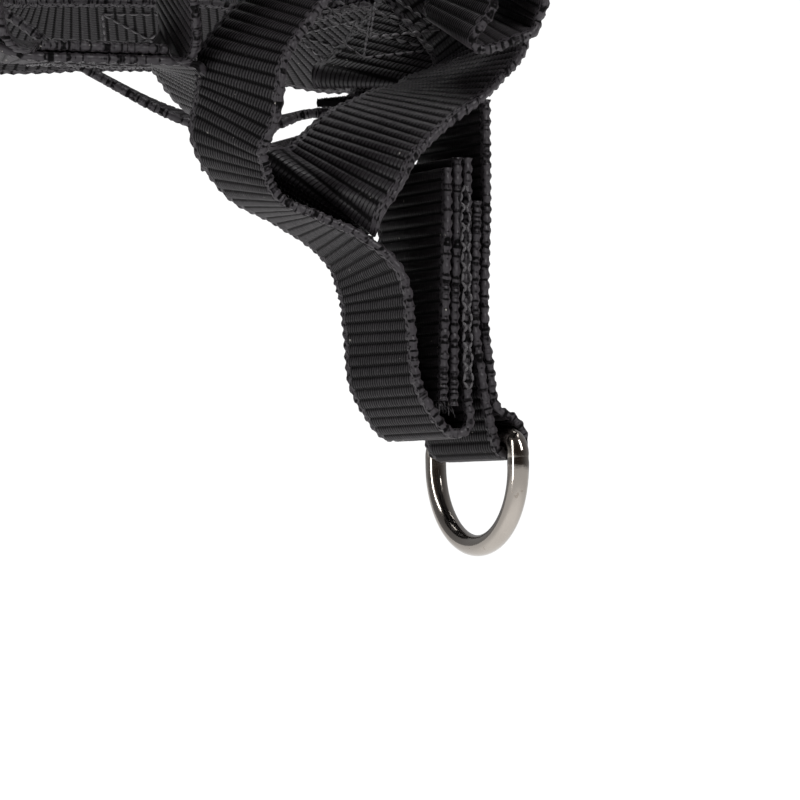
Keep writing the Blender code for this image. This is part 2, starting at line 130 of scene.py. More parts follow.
class Station:
    """A place on a strap's middle line: point, the way the strap's near edge faces, and its direction."""

    def __init__(self, point, edge, along=None):
        self.point = Vector(point)
        self.edge = Vector(edge).normalized()
        self.along = along.normalized() if along else None


def with_directions(stations, closed):
    """Fills in the direction of each station that has none, from its neighbours."""
    count = len(stations)
    for i, here in enumerate(stations):
        if here.along:
            continue
        before = stations[i - 1] if closed or i else here
        after = stations[(i + 1) % count] if closed or i < count - 1 else here
        here.along = (after.point - before.point).normalized()
    return stations


class Seam:
    """A face-to-face seam: the middle between its two layers, its direction and the way its edge faces."""

    def __init__(self, point, along, edge):
        self.point = Vector(point)
        self.along = Vector(along).normalized()
        edge = Vector(edge)
        self.edge = (edge - self.along * edge.dot(self.along)).normalized()

    def layer(self, side):
        """The two stations of the upper (side 1) or the lower (side -1) layer."""
        up = self.edge.cross(self.along)
        middle = self.point + up * (side * LAYER / 2)
        half = self.along * (SEAM / 2)
        return [
            Station(middle - half, self.edge, self.along),
            Station(middle + half, self.edge, self.along),
        ]


def from_bar(x, y, z):
    """A point given in millimetres from the middle of the D-ring's bar."""
    return BAR + Vector((x, y, z)) * MM


def seam_azimuth(level, column):
    return COLUMN_ANGLE * (column + 0.5 * ((BASE_LEVEL - level) % 2))


def seam_places():
    """Every seam of the bag, by (level, column): evenly round the bag, each a little out of place."""
    stray = random.Random(SAG_SEED)
    places = {}
    for level in range(BASE_LEVEL + 1):
        radius, height = LEVEL_RADIUS[level], BAR.z + LEVEL_HEIGHT[level]
        above, below = max(level - 1, 0), min(level + 1, BASE_LEVEL)
        rise = LEVEL_HEIGHT[above] - LEVEL_HEIGHT[below]
        flare = math.degrees(math.atan2(LEVEL_RADIUS[above] - LEVEL_RADIUS[below], rise))
        for column in range(COLUMNS):
            azimuth = seam_azimuth(level, column)
            calm = MOUTH_CALM if level == 0 else 1
            shift = Vector([stray.uniform(-SAG, SAG) for _ in range(3)]) * calm
            lean = stray.uniform(-LEAN, LEAN) * calm
            point = BAG_AXIS + facing(azimuth) * radius + Vector((0, 0, height)) + shift
            reach = (point - BAG_AXIS).dot(facing(TAIL_SIDE))
            point.z += BASE_RISE * (LEVEL_RADIUS[level] - reach) * level / BASE_LEVEL
            along = around(azimuth) + Vector((0, 0, lean))
            places[level, column] = Seam(point, along, facing(azimuth, -flare))
    places.update(tail_side_seams())
    return places


def tail_side_seams():
    """The seams next to the tail, which its weight pulls out of the even pattern."""
    return {
        (8, 0): Seam(from_bar(-72, -14, 71.5), (0.94, 0.34, 0), facing(20, -4)),
        (8, 2): Seam(from_bar(-16, 42, 70), (0.2, 0.95, 0.1), facing(80)),
        (7, 0): Seam(from_bar(-39, -23, 97), (0.96, 0.28, 0), facing(30, -12)),
        (7, 1): Seam(from_bar(-5, 31, 94), (0.2, 0.98, 0), facing(75)),
        (7, 2): Seam(from_bar(0, 74, 113), around(112), facing(112, -26)),
    }


def slack_turn():
    """The slack turn next to the tail, which crosses in front of the base strap instead of lying on it."""
    edge = (0.34, -0.88, -0.33)
    return [
        Station(from_bar(-1.7, -10, 83), edge),
        Station(from_bar(-5.0, -10, 77.5), edge),
        Station(from_bar(-3.6, -9, 75.8), edge),
        Station(from_bar(2.5, -8, 77.5), edge),
        Station(from_bar(6.6, -6, 80.5), edge),
        Station(from_bar(7.5, -9, 88), (0.5, -0.85, -0.15)),
    ]


def tail_point(across, up, out=0.0):
    """A point of the tail in millimetres: across its layers, up, and out along its straps' width."""
    outwards, sideways = facing(TAIL_AZIMUTH, TAIL_TILT), around(TAIL_AZIMUTH)
    upwards = outwards.cross(sideways)
    return BAR + (sideways * across + outwards * out + upwards * up) * MM


def tail_stations(points):
    return [Station(tail_point(across, up), facing(TAIL_AZIMUTH, TAIL_TILT)) for across, up in points]


def net_ring(number, places):
    """One row of the net: from its upper seams' lower layers to its lower seams' upper layers."""
    upper, lower = number - 1, number
    first_is_upper = seam_azimuth(upper, 0) < seam_azimuth(lower, 0)
    stations = []
    for column in range(COLUMNS):
        turns = [places[upper, column].layer(-1), places[lower, column].layer(1)]
        if not first_is_upper:
            turns.reverse()
        if (lower, column) == (7, 1):
            turns[1] = slack_turn()
        stations += turns[0] + turns[1]
    return stations


def base_strap(places):
    """The lowest row, strap 2 of the crossing, the hanging strap and the tail's loop, in one strap."""
    stations = places[8, 2].layer(FIRST_END)
    for column in (3, 4, 5, 6, 7, 0):
        stations += places[8, column].layer(-1)
    # Behind the hanging strap to the crossing, over it, and up to the seam at the right
    stations += [
        Station(from_bar(-48, 8, 60.5), (0.6, -0.65, -0.3)),
        Station(from_bar(-37.5, 7, 54), (0.75, -0.25, -0.5)),
        Station(from_bar(-33.7, -3, 44.9), (0.84, 0.05, -0.46)),
        Station(from_bar(-30.0, -17.5, 45.5), (0.84, -0.1, -0.46)),
        Station(from_bar(-25.7, -18.5, 48.5), (0.83, -0.45, -0.32)),
        Station(from_bar(-20.0, -14, 56.4), (0.8, -0.56, -0.24)),
        Station(from_bar(-12, -8, 62.5), (0.74, -0.65, -0.18)),
        Station(from_bar(-4.5, 1, 68), (0.66, -0.74, -0.08)),
        Station(from_bar(0.5, 11, 76), (0.64, -0.75, 0.05)),
    ]
    for column in range(1, COLUMNS):
        stations += places[7, column].layer(-1)
        if column < COLUMNS - 1:
            stations += places[8, column + 1].layer(1)
    stations += places[8, 0].layer(1)
    stations += places[7, 0].layer(-1)
    # The hanging strap, the tail's loop and up its stack
    stations += [
        Station(from_bar(-42.4, -24, 71), facing(42, -5)),
        Station(from_bar(-44.0, -23, 62), facing(40, -5)),
        Station(from_bar(-45.8, -20, 54.3), facing(33, -5)),
        Station(from_bar(-41.5, -16, 45.5), facing(25, -4)),
        Station(from_bar(-32.8, -12.5, 40.8), facing(24, -2)),
        Station(from_bar(-24.5, -11, 35.6), facing(26, 0)),
        Station(from_bar(-19.6, -10.5, 29), facing(30, 3)),
    ]
    stations += tail_stations([
        (-20.6, 20), (-19.7, 11), (-16.4, 5.0), (-12.3, 1.0), (-8.8, 2.2),
        (-9.0, 8), (-9.1, 22), (-8.3, 42), (-8.0, 52),
    ])
    return stations


def base_ties(places):
    """Two short straps sewn into the tail's stack, and one across the base, with each end under a seam."""
    first = tail_stations([(-12.0, 6), (-11.4, 22), (-10.45, 40), (-10.2, 52)])
    second = tail_stations([(-14.2, 7), (-13.5, 22), (-12.6, 40), (-12.4, 50)])
    near, far = places[8, 2], places[8, 6]
    near_middle = near.point - near.edge.cross(near.along) * (NEAR_DEPTH * LAYER / 2)
    far_middle = far.point - far.edge.cross(far.along) * (FAR_DEPTH * LAYER / 2)
    tie = [Station(near_middle + near.edge * reach * MM, -near.along, -near.edge) for reach in NEAR_ENDS]
    tie += [
        Station(from_bar(-50, 40, 62), (0.1, -0.97, -0.15)),
        Station(from_bar(-74, 42, 72), (0.1, -0.97, -0.1)),
        Station(from_bar(-102, 45, 90), (0.05, -0.98, -0.05)),
    ]
    tie += [Station(far_middle + far.edge * reach * MM, far.along, far.edge) for reach in FAR_ENDS]
    return {"tail_layer_1": first, "tail_layer_2": second, "base_tie": tie}


def ring_tab():
    """The strap round the D-ring's bar, with both legs in the tail; its last leg is 3 mm longer here."""
    turn = RING_WIRE / 2 / MM + (GAP + WEB_THICK / 2) / MM
    points = [(-6.1, 44), (-7.0, 22), (-6.0, 13), (-4.8, 6)]
    turns = [math.radians(180 + 45 * k) for k in range(5)]
    points += [(turn * math.cos(a), turn * math.sin(a)) for a in turns]
    points += [(1.3, 3.4), (-2.7, 5.9), (-3.9, 13), (-4.9, 22), (-4.0, 44), (-3.8, 63)]
    return tail_stations(points)


def mouth_band(places):
    """The webbing ring that edges the mouth, sewn on top of the first row's upper seams."""
    stations = []
    for column in range(COLUMNS):
        stations += places[0, column].layer(1)
    return stations


def stack_stations(layer, heights, flip):
    """Stations in the upper stack: layer counts from its middle, and flip turns the strap's near edge."""
    edge = facing(HANGER_AZIMUTH) * flip
    side = around(HANGER_AZIMUTH) * (layer * LAYER)
    return [Station(side + Vector((0, 0, z)), edge, Vector((0, 0, 1))) for z in heights]


def hanger_straps(places):
    """Four straps, each from its seam on the mouth band up to its own layer of the stack."""
    straps = []
    step = COLUMNS // HANGER_STRAPS
    layers = [-1.5, 1.5, 0.5, -0.5]  # from the stack's middle, in the order of the seams
    flips = [1, 1, -1, -1]
    for number in range(HANGER_STRAPS):
        stations = places[0, number * step].layer(3)
        end = stations[-1]
        normal = end.edge.cross(end.along)
        stations.append(Station(end.point + end.along * TURN_UP + normal * TURN_UP, end.edge))
        fan = stack_stations(FAN * layers[number], (FAN_BASE,), flips[number])[0]
        stations.append(Station(fan.point, fan.edge))
        stations += stack_stations(layers[number], (STACK_BASE, STACK_TOP), flips[number])
        straps.append(stations)
    return straps


def top_tab():
    """The strap round the bar of the snap's eye, with one leg down each side of the stack."""
    turn = EYE_WIRE / 2 + GAP + WEB_THICK / 2
    leg = 2.5 * LAYER
    side = around(HANGER_AZIMUTH)
    edge = facing(HANGER_AZIMUTH)
    up = Vector((0, 0, 1))
    low, high = STACK_BASE + TAB_SHORT, STACK_TOP + TAB_OVER
    stations = [Station(side * leg + up * z, edge, up) for z in (low, high)]
    for k in range(5):
        a = math.radians(45 * k)
        stations.append(Station(side * (turn * math.cos(a)) + up * (EYE_BAR + turn * math.sin(a)), edge))
    stations += [Station(side * -leg + up * z, edge, -up) for z in (high, low)]
    return stations


# ---- Weave ------------------------------------------------------------------------------------------

RIB = 2.05 * MM  # pitch of the ribs that run across a strap
STRAND = 0.84 * MM  # pitch of the yarns that run along it
CREST = 0.98 * MM  # half thickness at a rib's crest
VALLEY = 0.60 * MM
YARN = 0.14 * MM  # how far a yarn's float stands out of its rib
SLANT = 0.16 * MM  # how far a float leans along its rib
BODY = 26 * STRAND / 2  # half width inside the selvedges
FINE_ROWS = 6  # mesh rows in each rib
PLAIN_ROWS = 4
SPAN_STEPS = 60
END_UV = (0, 0.25)  # the place in the weave whose looks a cut end's face takes
EASE = 10 * MM  # the length over which a strap's rib direction is evened out
MOST_SKEW = 1.08  # how much longer a slanted rib may get, to keep the strap's width
RIM = 0.13 * MM  # how far the selvedge's knots reach out
LONGEST_FINE = 125  # ribs in one piece


def strap_path(stations, closed):
    """Even rows along the smooth line through the stations: a function of the number of rows per rib."""
    stations = with_directions(stations, closed)
    count = len(stations)
    points, edges = [], []
    for i in range(count if closed else count - 1):
        a, b = stations[i], stations[(i + 1) % count]
        reach = (b.point - a.point).length
        for step in range(SPAN_STEPS):
            s = step / SPAN_STEPS
            points.append(
                a.point * (2 * s**3 - 3 * s**2 + 1)
                + a.along * (reach * (s**3 - 2 * s**2 + s))
                + b.point * (3 * s**2 - 2 * s**3)
                + b.along * (reach * (s**3 - s**2))
            )
            edges.append(a.edge.lerp(b.edge, s * s * (3 - 2 * s)))
    last = stations[0] if closed else stations[-1]
    points.append(last.point)
    edges.append(last.edge)
    return np.array(points), np.array(edges)


def unit(vectors):
    return vectors / np.linalg.norm(vectors, axis=-1, keepdims=True)


class Path:
    """A strap's route, cut into whole ribs."""

    def __init__(self, stations, closed=False):
        points, edges = strap_path(stations, closed)
        steps = np.linalg.norm(np.diff(points, axis=0), axis=1)
        self.places = np.concatenate([[0], np.cumsum(steps)])
        self.points, self.edges, self.closed = points, edges, closed
        self.ribs = round(self.places[-1] / RIB)
        if closed:
            self.ribs += self.ribs % 2

    def rows(self, first, last, per_rib):
        """Point, across and through for each mesh row from one rib to another, and its place in ribs."""
        ribs = np.linspace(first, last, (last - first) * per_rib + 1)
        length = self.places[-1]

        def at(values, place):
            place = place % length if self.closed else np.clip(place, 0, length)
            return np.stack([np.interp(place, self.places, values[:, k]) for k in range(3)], axis=1)

        place = ribs * length / self.ribs
        point = at(self.points, place)
        half = 0.5 * MM

        def square(spot):
            spot = spot if self.closed else np.clip(spot, half, length - half)
            ahead = unit(at(self.points, spot + half) - at(self.points, spot - half))
            flat = at(self.edges, spot)
            return unit(flat - ahead * np.sum(flat * ahead, axis=1, keepdims=True))

        inner = place if self.closed else np.clip(place, half, length - half)
        along = unit(at(self.points, inner + half) - at(self.points, inner - half))
        shares = np.linspace(-1, 1, 9)
        eased = sum((1.1 - abs(share)) * square(place + share * EASE) for share in shares)
        through = unit(np.cross(square(place), along))
        across = unit(eased - through * np.sum(eased * through, axis=1, keepdims=True))
        slip = np.sum(across * along, axis=1, keepdims=True)
        across = across * np.minimum(1 / np.sqrt(np.maximum(1 - slip**2, 0.01)), MOST_SKEW)
        return point, across, through, ribs


def section(fine):
    """The columns round a strap: place across, side (1 top, 0 rim, -1 bottom), and what each one is."""
    body = np.linspace(-BODY, BODY, 53 if fine else 11)
    edge = [11.2, 11.6, 12.0, 12.35] if fine else [11.5, 12.2]
    kinds = ["groove", "knot", "dip", "late knot"] if fine else ["knot", "late knot"]
    left = [(-u * MM, k) for u, k in zip(edge[::-1], kinds[::-1])]
    right = [(u * MM, k) for u, k in zip(edge, kinds)]
    face = left + [(u, "body") for u in body] + right
    columns = [(u, 1, k) for u, k in face] + [(WEB_WIDTH / 2, 0, "rim")]
    columns += [(u, -1, k) for u, k in face[::-1]] + [(-WEB_WIDTH / 2, 0, "rim")]
    return columns


def weave(ribs, columns, fine, chance):
    """Place across and through of every point of the woven surface, as rows by columns."""
    t = 2 * (ribs % 1) - 1
    crest = (np.sqrt(1 - 0.94 * t * t) - math.sqrt(0.06)) / (1 - math.sqrt(0.06))
    wave = np.cos(2 * math.pi * ribs)
    parity = np.floor(ribs + 1e-6) % 2
    across = np.zeros((len(ribs), len(columns)))
    through = np.zeros((len(ribs), len(columns)))
    number = 0
    for k, (u, side, kind) in enumerate(columns):
        if kind == "body":
            number += 1
            sign = np.where((number + parity) % 2 > 0.5, 1.0, -1.0) if fine else 0.0
            rough = chance.uniform(-0.02, 0.02, len(ribs)) * MM if fine else 0
            yarn = YARN * (sign * (0.35 + 0.65 * crest) - 1) * fine
            height = VALLEY + (CREST - VALLEY) * crest + yarn + rough
            lean = SLANT * t * side if fine else 0
        else:
            lean = 0
            swell = 0.5 - 0.5 * wave if kind == "knot" else 0.5 + 0.5 * wave
            if kind == "groove":
                height = (0.60 + 0.12 * crest) * MM
            elif kind == "dip":
                height = 0.66 * MM + 0 * t
            elif kind == "rim":
                height = 0 * t
                lean = math.copysign(RIM, u) * (0.5 + 0.5 * wave) if fine else 0
            else:
                height = (0.60 + 0.36 * swell) * MM
        if kind != "body" and fine:
            lean = lean + chance.uniform(-0.06, 0.06, len(ribs)) * MM
            height = height + chance.uniform(-0.07, 0.05, len(ribs)) * MM * (kind != "rim")
        across[:, k] = u + lean
        through[:, k] = side * height
    return across, through


def mesh_object(name, points, quads, uv, look, body, nodes, ends=()):
    """A smooth mesh of quads, with any end faces, that rides on a body and may stand for nodes."""
    mesh = bpy.data.meshes.new(name)
    quad_corners = len(quads) * 4
    sizes = np.concatenate([np.full(len(quads), 4), [len(e) for e in ends]]).astype(np.int32)
    corners = np.concatenate([quads.reshape(-1)] + [np.array(e) for e in ends]).astype(np.int32)
    mesh.vertices.add(len(points))
    mesh.vertices.foreach_set("co", points.astype(np.float32).reshape(-1))
    mesh.loops.add(len(corners))
    mesh.loops.foreach_set("vertex_index", corners)
    mesh.polygons.add(len(sizes))
    mesh.polygons.foreach_set("loop_start", (np.cumsum(sizes) - sizes).astype(np.int32))
    mesh.polygons.foreach_set("loop_total", sizes)
    mesh.polygons.foreach_set("use_smooth", np.arange(len(sizes)) < len(quads))
    if uv is not None:
        layer = mesh.uv_layers.new(name="weave")
        full = np.zeros((len(corners), 2), np.float32)
        full[:quad_corners] = uv.reshape(-1, 2)
        if ends:
            full[quad_corners:] = END_UV
        layer.data.foreach_set("uv", full.reshape(-1))
    mesh.update(calc_edges=True)
    mesh.validate()
    mesh.materials.append(look)
    made = bpy.data.objects.new(name, mesh)
    bpy.context.scene.collection.objects.link(made)
    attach(made, body)
    if nodes:
        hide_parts(*nodes)
    return made


def web_piece(name, path, first, last, fine, look, nodes):
    """The stretch of a strap from one rib to another, woven."""
    columns = section(fine)
    point, across, through, ribs = path.rows(first, last, FINE_ROWS if fine else PLAIN_ROWS)
    whole = path.closed and first == 0 and last == path.ribs
    chance = np.random.RandomState(sum(map(ord, name)))
    u, h = weave(ribs, columns, fine, chance)
    points = point[:, None] + across[:, None] * u[:, :, None] + through[:, None] * h[:, :, None]
    rows, count = u.shape
    if whole:
        points = points[:-1]
    r, c = np.meshgrid(np.arange(rows - 1), np.arange(count), indexing="ij")
    r2, c2 = (r + 1) % len(points), (c + 1) % count
    row, row2 = r * count, r2 * count
    quads = np.stack([row + c, row + c2, row2 + c2, row2 + c], axis=-1).reshape(-1, 4)
    place = np.array([column[0] for column in columns]) / STRAND
    uv = np.stack([
        np.stack([place[c], ribs[r]], axis=-1), np.stack([place[c2], ribs[r]], axis=-1),
        np.stack([place[c2], ribs[r + 1]], axis=-1), np.stack([place[c], ribs[r + 1]], axis=-1),
    ], axis=2)
    ends = []
    if not whole:
        ends = [np.arange(count)[::-1], (rows - 1) * count + np.arange(count)]
    mesh_object(name, points.reshape(-1, 3), quads, uv, look, "net", nodes, ends)


def web(node, stations, look, closed=False, fine=False):
    """The whole of a strap, in as many pieces as keep each a fair size."""
    path = Path(stations, closed)
    parts = math.ceil(path.ribs / LONGEST_FINE) if fine else 1
    cuts = [2 * round(path.ribs * k / parts / 2) for k in range(parts)] + [path.ribs]
    for k in range(parts):
        name = f"woven_{node}" if parts == 1 else f"woven_{node}_{k + 1}"
        web_piece(name, path, cuts[k], cuts[k + 1], fine, look, [node])


# ---- Materials --------------------------------------------------------------------------------------


class Nodes:
    """A material's nodes, made and joined in one call each."""

    def __init__(self, name):
        self.material = bpy.data.materials.new(name)
        self.material.use_nodes = True
        self.tree = self.material.node_tree
        self.shader = self.tree.nodes["Principled BSDF"]

    def add(self, kind, settings=None, **inputs):
        node = self.tree.nodes.new(kind)
        for key, value in (settings or {}).items():
            setattr(node, key, value)
        for key, value in inputs.items():
            socket = node.inputs[int(key[1:])] if key[0] == "i" and key[1:].isdigit() else node.inputs[key]
            self.put(socket, value)
        return node

    def put(self, socket, value):
        if isinstance(value, bpy.types.NodeSocket):
            self.tree.links.new(value, socket)
        else:
            socket.default_value = value

    def math(self, operation, *values):
        node = self.add("ShaderNodeMath", {"operation": operation})
        for socket, value in zip(node.inputs, values):
            self.put(socket, value)
        return node.outputs[0]

    def fade(self, value, low, high, start=0.0, end=1.0):
        """The value's smooth rise from start to end as it goes from low to high."""
        node = self.add("ShaderNodeMapRange", {"interpolation_type": "SMOOTHSTEP"}, Value=value)
        for key, number in (("From Min", low), ("From Max", high), ("To Min", start), ("To Max", end)):
            node.inputs[key].default_value = number
        return node.outputs[0]

    def blend(self, share, first, second):
        node = self.add("ShaderNodeMix", {"data_type": "RGBA"})
        for socket, value in zip((node.inputs[0], node.inputs[6], node.inputs[7]), (share, first, second)):
            self.put(socket, value)
        return node.outputs[2]

    def noise(self, vector, scale, detail=2.0):
        node = self.add("ShaderNodeTexNoise", Vector=vector, Scale=scale, Detail=detail)
        return node.outputs["Fac"]

    def scaled(self, vector, scale):
        node = self.add("ShaderNodeVectorMath", {"operation": "MULTIPLY"}, i0=vector, i1=scale)
        return node.outputs[0]


def webbing_look(name, fine):
    """Black nylon webbing: ribs of staggered floats, each a bundle of fine fibres, with painted shade in
    the rib valleys and between the floats, and a painted glint on the crests.
    """
    n = Nodes(name)
    uv = n.add("ShaderNodeUVMap", {"uv_map": "weave"}).outputs[0]
    place = n.add("ShaderNodeTexCoord").outputs["Object"]
    split = n.add("ShaderNodeSeparateXYZ", Vector=uv)
    across, along = split.outputs[0], split.outputs[1]
    rib = n.math("PINGPONG", along, 0.5)
    crest = n.fade(rib, 0.02, 0.3)
    stagger = n.math("MULTIPLY", n.math("FLOORED_MODULO", n.math("FLOOR", along), 2.0), 0.5)
    slant = n.math("MULTIPLY", n.math("FRACT", along), 0.22)
    yarn = n.math("PINGPONG", n.math("ADD", n.math("ADD", across, stagger), slant), 0.5)
    edge = n.math("GREATER_THAN", n.math("ABSOLUTE", across), BODY / STRAND + 0.1)
    float_mask = n.math("MAXIMUM", n.fade(yarn, 0.03, 0.26), edge)
    braid = n.noise(n.scaled(uv, (2.2, 2.6, 1.0)), 1.0, 1.0)
    fibre = n.noise(n.scaled(uv, (9.0, 1.3, 1.0)), 1.0, 3.0)
    wide = n.noise(place, 55.0)
    worn = n.noise(place, 420.0)
    # Painted shade: this share is low in the rib valleys and in the gaps between the floats, where the
    # near-black colour stands for shade.
    woven = n.math("MULTIPLY", crest, n.math("ADD", n.math("MULTIPLY", float_mask, 0.9), 0.10))
    braided = n.math("MULTIPLY", n.fade(braid, 0.36, 0.54), edge)
    # In the body this share carries the painted shade; on the selvedges it carries the braid's pattern.
    shade_and_braid = n.math("ADD", n.math("MULTIPLY", woven, n.math("SUBTRACT", 1.0, edge)), braided)
    lit = n.blend(wide, (0.0050, 0.0042, 0.0051, 1), (0.0092, 0.0078, 0.0094, 1))
    lit = n.blend(edge, lit, (0.0210, 0.0182, 0.0212, 1))
    # The near-black colour is painted shade, in the rib valleys and between the floats.
    color = n.blend(shade_and_braid, (0.0010, 0.0009, 0.0010, 1), lit)
    # Painted highlight: lighter fibres on the rib crests.
    glint = n.math("MULTIPLY", n.fade(fibre, 0.52, 0.78), n.math("MULTIPLY", crest, 0.5))
    color = n.blend(glint, color, (0.052, 0.046, 0.051, 1))
    lint = n.math("MULTIPLY", n.fade(n.noise(place, 1300.0, 0.0), 0.80, 0.86), n.fade(worn, 0.55, 0.62))
    color = n.blend(lint, color, (0.22, 0.21, 0.19, 1))
    n.put(n.shader.inputs["Base Color"], color)
    n.put(n.shader.inputs["Roughness"], n.fade(fibre, 0.25, 0.75, 0.60, 0.36))
    small = n.math("MULTIPLY", n.math("ADD", fibre, n.math("MULTIPLY", braid, edge)), 0.4)
    height = n.math("ADD", small, n.math("MULTIPLY", float_mask, 0.5 if fine else 0.9))
    bump = n.add("ShaderNodeBump", Height=height, Strength=0.8, Distance=0.10 * MM)
    n.put(n.shader.inputs["Normal"], bump.outputs[0])
    n.put(n.shader.inputs["Specular IOR Level"], n.fade(shade_and_braid, 0.1, 0.9, 0.03, 0.27))
    n.shader.inputs["Sheen Weight"].default_value = 0.05
    n.shader.inputs["Sheen Roughness"].default_value = 0.4
    n.shader.inputs["Sheen Tint"].default_value = (1.0, 0.93, 0.97, 1)
    return n.material


def thread_look():
    """Twisted black sewing thread, a little lighter than the webbing."""
    n = Nodes("sewing_thread")
    place = n.add("ShaderNodeTexCoord").outputs["Object"]
    twist = n.noise(place, 2600.0, 1.0)
    n.put(n.shader.inputs["Base Color"], n.blend(twist, (0.014, 0.013, 0.0145, 1), (0.055, 0.05, 0.054, 1)))
    n.put(n.shader.inputs["Roughness"], n.fade(twist, 0.3, 0.7, 0.6, 0.42))
    bump = n.add("ShaderNodeBump", Height=twist, Strength=0.6, Distance=0.08 * MM)
    n.put(n.shader.inputs["Normal"], bump.outputs[0])
    return n.material


def nickel_look():
    """Polished nickel plate: warm grey, with faint polishing waves, fine scratches and dull specks."""
    n = Nodes("nickel")
    place = n.add("ShaderNodeTexCoord").outputs["Object"]
    cloud = n.noise(place, 90.0, 3.0)
    scratch = n.noise(n.scaled(place, (1.0, 1.0, 14.0)), 700.0, 2.0)
    speck = n.fade(n.noise(place, 900.0, 1.0), 0.70, 0.76)
    color = n.blend(cloud, (0.243, 0.221, 0.198, 1), (0.330, 0.304, 0.275, 1))
    color = n.blend(n.math("MULTIPLY", speck, 0.45), color, (0.20, 0.17, 0.14, 1))
    n.put(n.shader.inputs["Base Color"], color)
    rough = n.math("ADD", n.fade(cloud, 0.3, 0.7, 0.09, 0.17), n.math("MULTIPLY", speck, 0.25))
    n.put(n.shader.inputs["Roughness"], rough)
    height = n.math("ADD", n.math("MULTIPLY", cloud, 1.0), n.math("MULTIPLY", scratch, 0.05))
    bump = n.add("ShaderNodeBump", Height=height, Strength=0.35, Distance=0.10 * MM)
    n.put(n.shader.inputs["Normal"], bump.outputs[0])
    n.shader.inputs["Metallic"].default_value = 1.0
    return n.material


def steel_look():
    """Drawn spring wire, with lines along it."""
    n = Nodes("spring_wire")
    place = n.add("ShaderNodeTexCoord").outputs["Object"]
    drawn = n.noise(n.scaled(place, (1.0, 1.0, 6.0)), 1500.0, 2.0)
    n.put(n.shader.inputs["Base Color"], n.blend(drawn, (0.36, 0.36, 0.37, 1), (0.52, 0.52, 0.52, 1)))
    n.put(n.shader.inputs["Roughness"], n.fade(drawn, 0.3, 0.7, 0.28, 0.42))
    n.shader.inputs["Metallic"].default_value = 1.0
    return n.material


# ---- Metal ------------------------------------------------------------------------------------------

RING_STEPS = 40  # round the ring's bow
RING_ROUND = 32  # round its wire
WELD_LENGTH = 1.6 * MM
WELD_PIT = 0.5 * MM
COIL_STEPS = 24  # for each turn of the spring
COIL_SIDES = 10


def tube_piece(name, line, radius, sides, look, body, nodes, closed=False):
    """A round bar along a line, its radius one number or one for each point."""
    line = np.array(line)
    count = len(line)
    ahead, behind = np.roll(line, -1, axis=0), np.roll(line, 1, axis=0)
    if not closed:
        ahead[-1], behind[0] = line[-1], line[0]
    along = unit(ahead - behind)
    side = np.cross(along[0], (0.31, 0.52, 0.79))
    points = []
    reach = np.broadcast_to(np.array(radius, float), (count,))
    turn = 2 * math.pi * np.arange(sides) / sides
    for i in range(count):
        side = unit(side - along[i] * side.dot(along[i]))
        other = np.cross(along[i], side)
        around_wire = np.outer(np.cos(turn), side) + np.outer(np.sin(turn), other)
        points.append(line[i] + around_wire * reach[i])
    spans = count if closed else count - 1
    r, c = np.meshgrid(np.arange(spans), np.arange(sides), indexing="ij")
    drift = 0  # how many sides the last section is turned from the first
    if closed:
        drift = np.argmin(np.linalg.norm(points[-1] - points[0][0], axis=1))
    r2, c2 = (r + 1) % count, (c + 1) % sides
    shift = np.where((r + 1) >= count, drift, 0)
    quads = np.stack([
        r * sides + c, r * sides + c2, r2 * sides + (c2 + shift) % sides, r2 * sides + (c + shift) % sides,
    ], axis=-1).reshape(-1, 4)
    ends = [] if closed else [np.arange(sides)[::-1], (count - 1) * sides + np.arange(sides)]
    return mesh_object(name, np.concatenate(points), quads, None, look, body, nodes, ends)


def ring_line():
    """The middle line of the D-ring's wire, closed, with its weld at the right-hand leg."""
    half, round_in = RING_BAR / 2, 0.2 * RING_BAR / 2
    flat = [(x * half, 0) for x in np.linspace(-0.8, 0.8, 19)]
    for k in range(1, 8):
        a = math.pi / 2 * (1 - k / 8)
        flat.append((half - round_in + round_in * math.cos(a), -round_in + round_in * math.sin(a)))
    flat += [(half, z) for z in np.linspace(-round_in, -RING_LEG, 5)]
    for k in range(1, RING_STEPS):
        a = math.pi * k / RING_STEPS
        flat.append((half * math.cos(a), -RING_LEG - half * math.sin(a)))
    flat += [(-half, z) for z in np.linspace(-RING_LEG, -round_in, 5)]
    for k in range(1, 8):
        a = math.pi / 2 * k / 8
        flat.append((-half + round_in - round_in * math.cos(a), -round_in + round_in * math.sin(a)))
    return [tail_point(0, z / MM, x / MM) for x, z in flat], flat


def d_ring(look):
    line, flat = ring_line()
    weld = (RING_BAR / 2, -RING_LEG * 0.75)
    radius = []
    for x, z in flat:
        away = math.hypot(x - weld[0], z - weld[1])
        swell = 0.035 * math.exp(-((away / WELD_LENGTH) ** 2)) - 0.05 * math.exp(-((away / WELD_PIT) ** 2))
        radius.append(RING_WIRE / 2 * (1 + swell))
    tube_piece("ring_wire", line, radius, RING_ROUND, look, "ring", ["d_ring"], closed=True)


def snap_spring(look):
    """The coil below the bolt, which shortens as the bolt is drawn back."""
    low = BORE_BASE + GAP + SPRING_WIRE / 2
    high = TIP_BASE - 2 * GAP - BOLT_LENGTH - SPRING_WIRE / 2
    radius = BORE_RADIUS - GAP - SPRING_WIRE / 2
    steps = COIL_STEPS * SPRING_TURNS
    line = []
    for step in range(steps + 1):
        turn = 2 * math.pi * step / COIL_STEPS
        x, y = HOOK_HALF + radius * math.cos(turn), radius * math.sin(turn)
        line.append((x, y, low + (high - low) * step / steps))
    coil = tube_piece(
        "spring_coil", line, SPRING_WIRE / 2, COIL_SIDES, look, "snap", ["snap_spring"])
    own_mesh(coil)


# ---- Threads ----------------------------------------------------------------------------------------

STITCH = 2.6 * MM
THREAD = 0.26 * MM  # radius
STITCH_SIDES = 6
STITCH_STEPS = 4
SUNK = 0.05 * MM  # how deep a stitch lies in the webbing
BOX_SHORT = 3 * MM  # how far a sewn box stops short of its seam's ends
BOX_NARROW = 3.4 * MM  # and of the strap's edges
STACK_BOX = 9 * MM  # half width of the box on the upper stack

